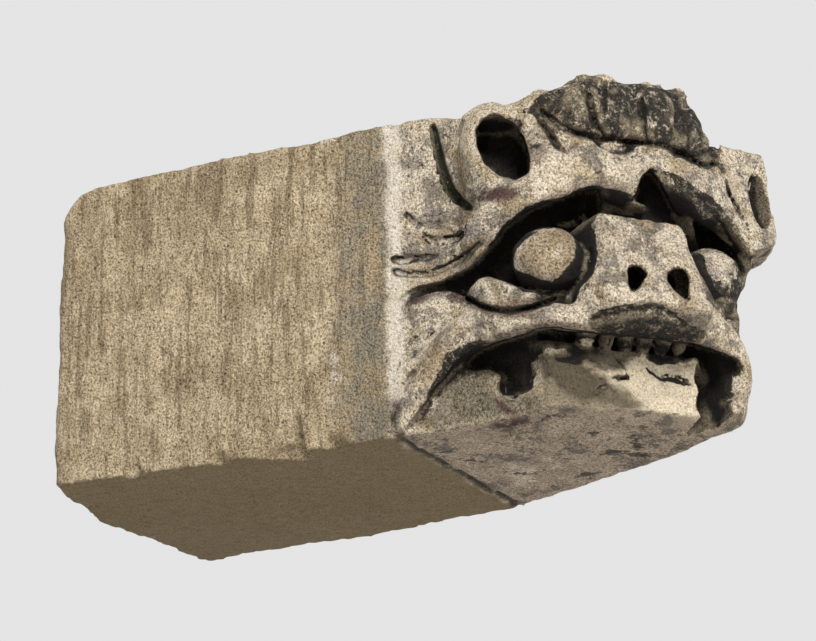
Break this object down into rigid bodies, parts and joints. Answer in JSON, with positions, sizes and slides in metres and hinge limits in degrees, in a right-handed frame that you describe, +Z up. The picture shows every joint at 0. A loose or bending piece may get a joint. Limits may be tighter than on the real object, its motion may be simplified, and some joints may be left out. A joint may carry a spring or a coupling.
{
  "type": "stone corbel",
  "caption": "Carved stone corbel: a squared tail that builds into a wall and a projecting beast's head with open mouth, turned to one side, its jaw broken off",
  "frame": {"origin": "middle of the flat end of the tail, midway between bed and top", "axes": "+Z up; +Y out of the tail's end, into the wall's core; the head projects toward -Y and looks toward -X; +X toward the plain side of the stone"},
  "size_m": [0.3418, 0.5832, 0.25],
  "materials": {
    "stone": "tooled sandstone, weathered, with traces of limewash and red-brown paint, soot and moss"
  },
  "bodies": {
    "root": {"corbel": "stone"}
  },
  "joints": []
}
